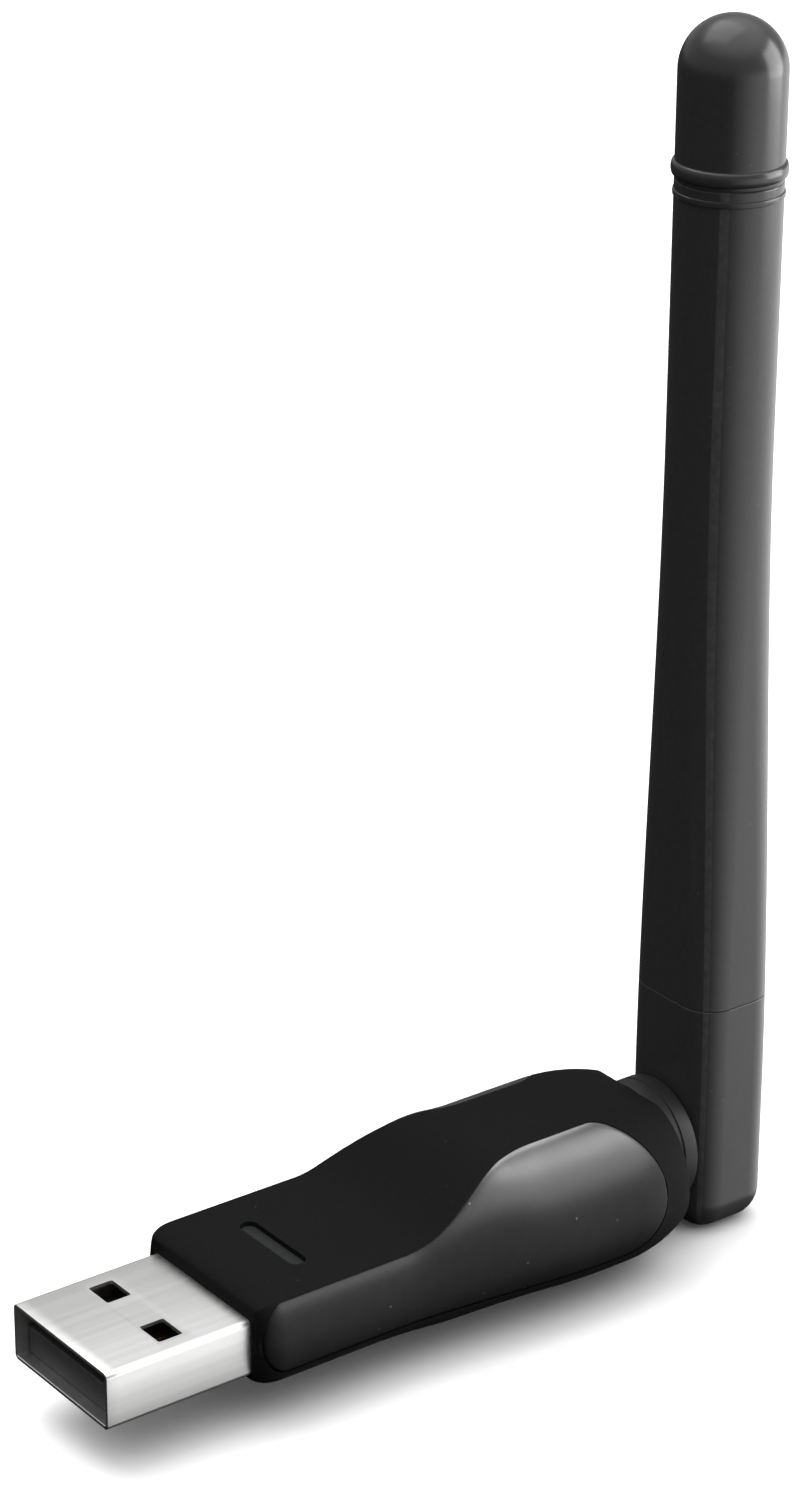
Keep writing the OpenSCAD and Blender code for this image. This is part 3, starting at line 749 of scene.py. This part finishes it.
def trim_stations(spread=0.0):
    x0, x1 = trim_x0 - spread, trim_x1 + spread
    spots = [x0 + trim_nose_turn * (1 - math.cos(math.radians(90 * k / 16))) for k in range(17)]
    start, stop = spots[-1], x1 - trim_rear_turn
    spots += [start + (stop - start) * k / 70 for k in range(1, 70)]
    spots += [stop + trim_rear_turn * math.sin(math.radians(90 * k / 24)) for k in range(25)]
    return spots


def trim_strip(name, side, spread, out, depth, edge_round, across=26):
    """A closed strip on the housing's side, from an outer face that stands out to an inner face below."""
    rows = []
    for x in trim_stations(spread):
        low, top = trim_edges(x, spread)
        height = top - low
        outer = []
        inner = []
        for i in range(across + 1):
            v = (1 - math.cos(math.pi * i / across)) / 2
            z = low + height * v
            ends = min(x - trim_x0 + spread, trim_x1 + spread - x)
            reach = min(z - low, top - z, ends * 1.4)
            turn = edge_round * quarter_round(1 - reach / edge_round) if edge_round else 0
            y = side_y(x, z) - trim_crown * (1 - rise(x, ramp_x - 2, ramp_end)) * max(0, v - 0.4) ** 2 / 0.36
            outer.append(at(x, side * (y + out - turn), z))
            inner.append(at(x, side * (y - depth), z))
        rows.append(outer + inner[::-1])
    return new_piece(name, *skin(rows), weld=2e-6)


trim_satin = plastic_finish(
    "trim_satin", (0.003, 0.003, 0.0031), (0.0045, 0.0045, 0.0046),
    roughness=(0.34, 0.42), specular=0.035, grain=2500.0, bump=0.06, dust=0.12,
)
for side, side_name, node in ((1, "left", "side_trim_left"), (-1, "right", "side_trim_right")):
    trim = trim_strip(f"trim_{side_name}", side, 0.0, 0.0, trim_t - 0.02, 0.22)
    finish_piece(trim, trim_satin, "housing", "trim_gloss", node, crease=40)
    trims_only.objects.link(trim)
    spared.objects.link(trim)
for entry in spared.collection_objects:
    entry.light_linking.link_state = "EXCLUDE"


# ---- Upper and lower covers ----
# Two hollow black ABS shells, moulded with a fine matte texture and ultrasonically welded at mid-height.
# They hold the plug in front and the collar behind, and the upper one has the slot for the light pipe.


def circle(radius, steps):
    """Points round a circle, as pairs."""
    turns = [2 * math.pi * i / steps for i in range(steps)]
    return [(radius * math.cos(turn), radius * math.sin(turn)) for turn in turns]


def x_turned(name, profile, centre_z, steps=96):
    """A ring turned about the length of the adapter, from (x, radius) pairs that form a closed profile."""
    rows = [[at(x, y, centre_z + z) for y, z in circle(radius, steps)] for x, radius in profile]
    return new_piece(name, *skin(rows, loop=True))


def x_rod(name, radius, x0, x1, centre_z, steps=96):
    """A plain round tool along the adapter."""
    rows = [[at(x, y, centre_z + z) for y, z in circle(radius, steps)] for x in (x0, x1)]
    return new_piece(name, *skin(rows))


def plug_hole(name):
    grip = 0.05 - shell_step
    ring = rounded_ring(plug_half_w + grip, plug_half_t + grip, shell_fold - shell_step)
    rows = [[at(x, y, z) for y, z in ring] for x in (front_x - 1, shell_end + 0.05)]
    return new_piece(name, *skin(rows))


collar_low, collar_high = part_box("rear_collar")
hub_z = ((collar_low.z + collar_high.z) / 2 - mid_z) / mm
collar_neck = 3.5
light_x = front_x + 6.1
light_half_l, light_half_w = 0.7, 3.6
cover_matte = plastic_finish(
    "cover_matte", (0.004, 0.004, 0.0043), (0.0065, 0.0065, 0.0068),
    roughness=(0.55, 0.68), specular=0.02, grain=7000.0, bump=0.35, dust=0.1,
)
cover_halves = (("upper_cover", part_z, bulb_top + 1), ("lower_cover", -bulb_bottom - 1, part_z))
for cover_name, low_z, high_z in cover_halves:
    cover = housing_form(f"{cover_name}_shell")
    keep_low, keep_high = (front_x - 1, -bulb_half - 1, low_z), (rear_x + 1, bulb_half + 1, high_z)
    shape_with(cover, "INTERSECT", rounded_block("keep", keep_low, keep_high, 0.1))
    tools = [
        housing_form("cavity", 1.4, 1.2, 0.75, 1.2, 1.2),
        plug_hole("plug_hole"),
        x_rod("collar_hole", collar_neck + 0.05, rear_x - 2.2, rear_x + 1, hub_z),
    ]
    for side in (1, -1):
        tools.append(trim_strip(f"seat_{side}", side, 0.045, 0.6, trim_t, 0.0))
    if cover_name == "upper_cover":
        tools.append(rounded_block(
            "light_slot",
            (light_x - light_half_l, -light_half_w, 1.5),
            (light_x + light_half_l, light_half_w, neck_top + 1),
            light_half_l - 0.01,
            steps=10,
        ))
    shape_with(cover, "DIFFERENCE", *tools)
    finish_piece(cover, cover_matte, "housing", "cover_black", cover_name)


# ---- Light pipe ----
# A bar of smoked translucent polycarbonate, pressed into its slot from inside, a little below the panel.
# A shelf under the roof carries the light to it from the lamp on the board.

pipe_low, pipe_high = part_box("light_pipe")
pipe_base = (pipe_low.z - mid_z) / mm
pipe_top = (pipe_high.z - mid_z) / mm
pipe_end = (pipe_high.x - tip_x) / mm
pipe_roof = neck_top - 1.2 - 0.05
pipe_rows = []
for z, inset in ((pipe_roof - 0.8, 0.0), (pipe_top - 0.12, 0.0), (pipe_top - 0.03, 0.04), (pipe_top, 0.14)):
    half_l, half_wide = light_half_l - 0.05 - inset, light_half_w - 0.05 - inset
    ring = rounded_ring(half_l, half_wide, half_l - 0.01, 10)
    pipe_rows.append([at(light_x + x, y, z) for x, y in ring])
light_bar = new_piece("light_bar", *skin(pipe_rows))
shelf = rounded_block("shelf", (light_x - 0.2, -3.2, pipe_roof - 0.8), (pipe_end, 3.2, pipe_roof), 0.3)
foot = rounded_block("foot", (pipe_end - 1.6, -0.9, pipe_base), (pipe_end, 0.9, pipe_roof - 0.4), 0.2)
shape_with(light_bar, "UNION", shelf, foot)
smoke = plastic_finish(
    "pipe_smoke", (0.012, 0.0125, 0.0125), (0.016, 0.0165, 0.0165),
    roughness=(0.4, 0.5), specular=0.04, grain=3000.0, bump=0.08, dust=0.12,
)
finish_piece(light_bar, smoke, "housing", "light_pipe", "light_pipe")


# ---- Collar, friction washer and snap clip ----
# The collar is a black acetal bush, pushed through the rear wall from outside; its lip holds it there.
# A silicone washer gives the swivel its drag, and a spring-steel clip keeps the antenna's spigot in.

collar_x0 = (collar_low.x - tip_x) / mm
collar_x1 = (collar_high.x - tip_x) / mm
collar_r = 5.0
bore_r = 2.75
wall_x = rear_x - 1.2
collar_lip = 4.1
collar_profile = [
    (collar_x0, bore_r), (collar_x0, collar_lip - 0.05), (collar_x0 + 0.05, collar_lip),
    (wall_x - 0.05, collar_lip), (wall_x - 0.05, collar_neck), (rear_x + 0.05, collar_neck),
    (rear_x + 0.05, collar_r - 0.15), (rear_x + 0.1, collar_r - 0.04), (rear_x + 0.2, collar_r),
    (rear_x + 1.25, collar_r), (rear_x + 1.32, collar_r - 0.1), (rear_x + 1.5, collar_r - 0.1),
    (rear_x + 1.57, collar_r), (collar_x1 - 0.4, collar_r), (collar_x1 - 0.18, collar_r - 0.06),
    (collar_x1 - 0.05, collar_r - 0.2), (collar_x1, collar_r - 0.4), (collar_x1, bore_r + 0.2),
    (collar_x1 - 0.15, bore_r),
]
collar = x_turned("swivel_collar", collar_profile, hub_z)
collar_acetal = plastic_finish(
    "collar_acetal", (0.009, 0.009, 0.0095), (0.013, 0.013, 0.0135),
    roughness=(0.42, 0.55), specular=0.12, grain=6000.0, bump=0.2,
)
finish_piece(collar, collar_acetal, "housing", "cover_black", "rear_collar")

washer_rubber = plastic_finish(
    "washer_rubber", (0.02, 0.02, 0.02), (0.032, 0.032, 0.032),
    roughness=(0.6, 0.8), specular=0.3, grain=4000.0, bump=0.4,
)
clip_steel = metal_finish("clip_steel", (0.45, 0.45, 0.46), (0.68, 0.68, 0.69), (0.25, 0.4), 5000.0, 900.0)


def paint(node, finish):
    """A CAD node keeps its mesh and takes a finish."""
    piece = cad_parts[node]
    for spot in piece.material_slots:
        spot.material = finish
    if not piece.material_slots:
        piece.data.materials.append(finish)


paint("friction_washer", washer_rubber)
paint("retaining_clip", clip_steel)


# ---- Antenna base, sleeve and tip ----
# Three satin-black ABS mouldings: a squared base with the hollow spigot of the swivel, a long sleeve that
# goes from that rounded square to a circle, and a domed tip. Glued tenons join them with a fine line.

base_low, base_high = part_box("antenna_base")
joint_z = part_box("antenna_sleeve")[1].z
tip_low, tip_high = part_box("antenna_tip")
antenna_x = (tip_low.x + tip_high.x) / 2
round_r = 3.9
ridge_proud = 0.26
foot_z = base_low.z
base_top = base_high.z
dome_top = tip_high.z

antenna_tree, asked, given = new_geometry_tree("antenna_skin", [
    ("Bottom", "Float", 0.0),
    ("Top", "Float", 0.1),
    ("Square until", "Float", 0.0126),
    ("Round from", "Float", 0.065),
    ("Round radius", "Float", 0.0039),
    ("Half depth", "Float", 0.00365),
    ("Half width", "Float", 0.0047),
    ("Corner", "Float", 0.0024),
    ("Foot round", "Float", 0.0001),
    ("Rim round", "Float", 0.0001),
    ("Middle", "Float", 0.0),
    ("Set back", "Float", 0.00025),
    ("Around", "Int", 128),
    ("Up", "Int", 90),
    ("Finish", "Material", None),
])


def calc(operation, *terms):
    return math_on(antenna_tree, operation, *terms)


def round_in(size, distance):
    """How far a rounded end draws the section in."""
    part = calc("MINIMUM", calc("MAXIMUM", calc("SUBTRACT", 1.0, calc("DIVIDE", distance, size)), 0.0), 1.0)
    left = calc("SQRT", calc("MAXIMUM", calc("SUBTRACT", 1.0, calc("MULTIPLY", part, part)), 0.0))
    return calc("MULTIPLY", size, calc("SUBTRACT", 1.0, left))


# A grid is bent round the axis: its X runs round and its Y climbs, with rows closer together at both ends
grid = {"Vertices X": calc("ADD", asked["Around"], 1.0), "Vertices Y": asked["Up"]}
grid = put(antenna_tree, "GeometryNodeMeshGrid", grid).outputs["Mesh"]
spot = put(antenna_tree, "GeometryNodeInputPosition").outputs[0]
spot = put(antenna_tree, "ShaderNodeSeparateXYZ", {0: spot}).outputs
share = calc("ADD", spot[0], 0.5)
climb = calc("ADD", spot[1], 0.5)
turn = calc("MULTIPLY", calc("ADD", share, calc("DIVIDE", 0.5, asked["Around"])), 2 * math.pi)
eased = calc("MULTIPLY_ADD", calc("COSINE", calc("MULTIPLY", climb, math.pi)), -0.5, 0.5)
height = calc("MULTIPLY_ADD", eased, calc("SUBTRACT", asked["Top"], asked["Bottom"]), asked["Bottom"])
square = smooth_range(antenna_tree, height, asked["Square until"], asked["Round from"], 1, 0)
foot_in = round_in(asked["Foot round"], calc("SUBTRACT", height, asked["Bottom"]))
rim_in = round_in(asked["Rim round"], calc("SUBTRACT", asked["Top"], height))
drawn_in = calc("ADD", foot_in, rim_in)
inside = calc("MULTIPLY", calc("GREATER_THAN", climb, 0.0001), calc("LESS_THAN", climb, 0.9999))


def section_size(square_size):
    """A size that goes from the square section's to the round section's, drawn in at the ends."""
    round_size = asked["Round radius"]
    between = calc("MULTIPLY_ADD", calc("SUBTRACT", square_size, round_size), square, round_size)
    return calc("SUBTRACT", between, drawn_in)


corner = calc("MAXIMUM", section_size(asked["Corner"]), 0.00005)


def across(half_size, wave):
    """How far a point of the section lies from its middle, along one side."""
    straight = calc("MAXIMUM", calc("SUBTRACT", section_size(half_size), corner), 0.0)
    straight = calc("MULTIPLY", calc("SIGN", wave), straight)
    return calc("MULTIPLY", calc("MULTIPLY_ADD", corner, wave, straight), inside)


middle = calc("MULTIPLY_ADD", asked["Set back"], square, asked["Middle"])
place = put(antenna_tree, "ShaderNodeCombineXYZ", {
    0: calc("ADD", across(asked["Half depth"], calc("COSINE", turn)), middle),
    1: across(asked["Half width"], calc("SINE", turn)),
    2: height,
}).outputs[0]
bent = put(antenna_tree, "GeometryNodeSetPosition", {"Geometry": grid, "Position": place}).outputs["Geometry"]
joined = {"Geometry": bent, "Distance": 0.0000005}
joined = put(antenna_tree, "GeometryNodeMergeByDistance", joined).outputs["Geometry"]
whole = put(antenna_tree, "GeometryNodeRealizeInstances", {"Geometry": joined}).outputs["Geometry"]
coated = {"Geometry": whole, "Material": asked["Finish"]}
coated = put(antenna_tree, "GeometryNodeSetMaterial", coated).outputs["Geometry"]
antenna_tree.links.new(coated, given["Geometry"])

antenna_satin = plastic_finish(
    "antenna_satin", (0.02, 0.02, 0.0205), (0.026, 0.026, 0.0265),
    roughness=(0.2, 0.27), specular=0.3, grain=3000.0, bump=0.05, dust=0.12,
)


def outward(piece):
    """Turns the piece's faces outwards."""
    work = bmesh.new()
    work.from_mesh(piece.data)
    bmesh.ops.recalc_face_normals(work, faces=work.faces)
    work.to_mesh(piece.data)
    work.free()
    return piece


def antenna_skin(name, bottom, top, foot, rim_size, up):
    """One length of the antenna's skin, closed at both ends."""
    piece = new_piece(name, [(0, 0, 0)], [])
    grow(
        piece, antenna_tree, Bottom=bottom, Top=top, Square_until=mid_z + 0.0046, Round_from=mid_z + 0.057,
        Foot_round=foot, Rim_round=rim_size, Middle=antenna_x, Up=up, Finish=antenna_satin,
    )
    return outward(piece)


def z_turned(name, profile, steps=128):
    """A solid turned about the antenna's axis, from (radius, height) pairs in metres, axis to axis."""
    rows = [[(antenna_x + x, y, height) for x, y in circle(radius, steps)] for radius, height in profile]
    return new_piece(name, *skin(rows), weld=1e-6)


def z_rod(name, radius, low, high):
    """A plain round tool along the antenna."""
    return z_turned(name, [(0, low), (radius, low), (radius, high), (0, high)], 64)


joint_line = 0.00007
tenon_r, tenon_l = 0.00235, 0.004
base = antenna_skin("antenna_base_body", foot_z, base_top, 0.0026, joint_line, 110)
spigot_x0 = (base_low.x - tip_x) / mm
spigot_r, spigot_bore, groove_r = 2.7, 1.1, 2.2
base_half_d = 3.4
base_front = (antenna_x - tip_x) / mm - base_half_d
clip_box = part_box("retaining_clip")
clip_x0, clip_x1 = (clip_box[0].x - tip_x) / mm - 0.05, (clip_box[1].x - tip_x) / mm + 0.05
spigot_profile = [
    (spigot_x0, spigot_bore), (spigot_x0, spigot_r - 0.25), (spigot_x0 + 0.25, spigot_r),
    (clip_x0, spigot_r), (clip_x0, groove_r), (clip_x1, groove_r), (clip_x1, spigot_r),
    (base_front + 1, spigot_r), (base_front + 1, spigot_bore),
]
spigot = x_turned("spigot", spigot_profile, hub_z)
bore = x_rod("bore", spigot_bore, spigot_x0 - 1, base_front + base_half_d, hub_z)
room_r = 0.0018
cable_room = z_rod("cable_room", room_r, mid_z + hub_z * mm - room_r, base_top - 0.001)
socket = z_rod("socket", tenon_r + 0.00005, base_top - tenon_l - 0.00005, base_top + 0.001)
shape_with(base, "UNION", spigot)
shape_with(base, "DIFFERENCE", bore, cable_room, socket)
finish_piece(base, antenna_satin, "antenna", "antenna_black", "antenna_base")

sleeve = antenna_skin("antenna_sleeve_body", base_top, joint_z, joint_line, joint_line, 150)
tenon = z_rod("tenon", tenon_r, base_top - tenon_l, base_top + 0.001)
r = round_r * mm
bead_low, bead_high = joint_z - 0.0012, joint_z - 0.0006
bead = z_turned("bead", [
    (0, bead_low), (r - 0.0001, bead_low), (r + 0.00008, bead_low + 0.00012), (r + 0.0001, bead_low + 0.0003),
    (r + 0.00008, bead_high - 0.00012), (r - 0.0001, bead_high), (0, bead_high),
])
shape_with(sleeve, "UNION", tenon, bead)
cable_way, radiator_way = 0.0011, 0.0022
hollow_low, hollow_step, hollow_top = base_top - tenon_l - 0.001, base_top + 0.002, joint_z + 0.001
hollow = z_turned("hollow", [
    (0, hollow_low), (cable_way, hollow_low), (cable_way, hollow_step),
    (radiator_way, hollow_step), (radiator_way, hollow_top), (0, hollow_top),
], 64)
shape_with(sleeve, "DIFFERENCE", hollow)
finish_piece(sleeve, antenna_satin, "antenna", "antenna_black", "antenna_sleeve")

ridge_z = joint_z + 0.0003
tip_tenon_r, tip_tenon_z = 0.00215, joint_z - tenon_l / 2
tip_profile = [
    (0, tip_tenon_z), (tip_tenon_r - 0.00005, tip_tenon_z), (tip_tenon_r, tip_tenon_z + 0.0001),
    (tip_tenon_r, joint_z), (r - joint_line, joint_z),
    (r - joint_line * 0.3, joint_z + joint_line * 0.3), (r, joint_z + joint_line), (r, ridge_z),
]
for k in range(9):
    turn = math.radians(20 * k - 80)
    proud = ridge_proud * mm * (0.35 + 0.65 * math.cos(turn))
    tip_profile.append((r + proud, ridge_z + 0.00055 + 0.0005 * math.sin(turn)))
tip_profile += [(r, ridge_z + 0.0011), (r, dome_top - r - 0.002)]
for k in range(25):
    turn = math.radians(90 * k / 24)
    tip_profile.append((r * math.cos(turn), dome_top - r + r * math.sin(turn)))
tip = z_turned("antenna_tip_body", tip_profile)
finish_piece(tip, antenna_satin, "antenna", "antenna_black", "antenna_tip")


# ---- Radiator and coaxial cable ----
# Inside the sleeve a thin coaxial cable ends in a quarter-wave brass sleeve, with a bare brass wire above it.
# The cable runs through the hollow swivel to the board.

drawn_brass = metal_finish("drawn_brass", (0.55, 0.38, 0.13), (0.8, 0.6, 0.28), (0.22, 0.38), 5000.0, 900.0)
jacket_grey = plastic_finish(
    "jacket_grey", (0.22, 0.22, 0.23), (0.3, 0.3, 0.31),
    roughness=(0.4, 0.55), specular=0.4, grain=3000.0, bump=0.15,
)
paint("radiator_sleeve", drawn_brass)
paint("radiator_wire", drawn_brass)
paint("antenna_coax", jacket_grey)
paint("body_coax", jacket_grey)


# ---- Circuit board and its parts ----
# A green glass-epoxy board on four posts. The radio chip, crystal, regulator, coil, capacitors, resistors and
# the lamp are soldered on its top.

board_mask = plastic_finish(
    "board_mask", (0.01, 0.09, 0.035), (0.02, 0.14, 0.055),
    roughness=(0.3, 0.45), specular=0.5, grain=1500.0, bump=0.1,
)
chip_epoxy = plastic_finish(
    "chip_epoxy", (0.02, 0.02, 0.02), (0.035, 0.035, 0.035),
    roughness=(0.5, 0.65), specular=0.4, grain=5000.0, bump=0.25,
)
can_metal = metal_finish("can_metal", (0.5, 0.5, 0.49), (0.75, 0.75, 0.73), (0.25, 0.4), 1500.0, 1500.0)
fired_ceramic = plastic_finish(
    "fired_ceramic", (0.38, 0.27, 0.15), (0.5, 0.38, 0.24),
    roughness=(0.4, 0.6), specular=0.4, grain=4000.0, bump=0.2,
)
lamp_resin = plastic_finish(
    "lamp_resin", (0.6, 0.62, 0.6), (0.75, 0.78, 0.78),
    roughness=(0.2, 0.35), specular=0.5, grain=3000.0, bump=0.05,
)
paint("circuit_board", board_mask)
paint("wifi_chip", chip_epoxy)
paint("voltage_regulator", chip_epoxy)
paint("power_inductor", chip_epoxy)
paint("crystal", can_metal)
paint("capacitors", fired_ceramic)
paint("resistors", chip_epoxy)
paint("status_led", lamp_resin)
